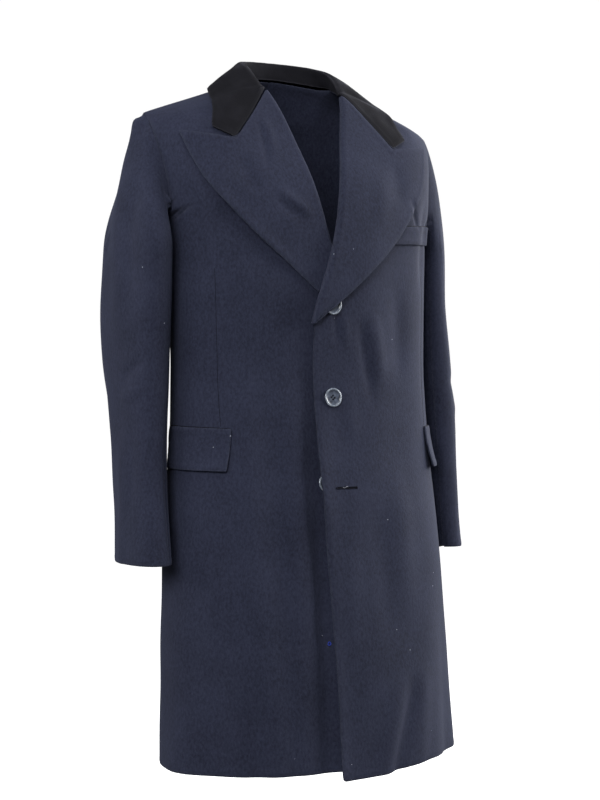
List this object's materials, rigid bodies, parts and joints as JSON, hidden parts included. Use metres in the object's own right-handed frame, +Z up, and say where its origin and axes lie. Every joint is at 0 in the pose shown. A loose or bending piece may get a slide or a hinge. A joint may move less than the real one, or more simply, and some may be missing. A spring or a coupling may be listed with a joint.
{
  "type": "overcoat",
  "caption": "Knee-length single-breasted wool overcoat with wide peak lapels, a velvet collar, hip flaps and a breast welt, in its worn, hollow form.",
  "frame": {"origin": "the root of the wearer's neck, midway between the two shoulders, where the coat hangs from the wearer", "axes": "+Z up, from the hem to the collar; the coat's front faces -Y; the wearer's left side is +X"},
  "size_m": [0.5899, 0.3236, 1.0817],
  "materials": {
    "wool": "matte, brushed nap",
    "velvet": "short pile with a soft edge sheen",
    "horn": "polished"
  },
  "bodies": {
    "root": {"front_left": "wool", "back_left": "wool", "sleeve_top_left": "wool", "sleeve_under_left": "wool", "lapel_left": "wool", "flap_left": "wool", "front_right": "wool", "back_right": "wool", "sleeve_top_right": "wool", "sleeve_under_right": "wool", "lapel_right": "wool", "flap_right": "wool", "collar": "velvet", "breast_welt": "wool", "button_top": "horn", "button_middle": "horn", "button_bottom": "horn"}
  },
  "joints": []
}
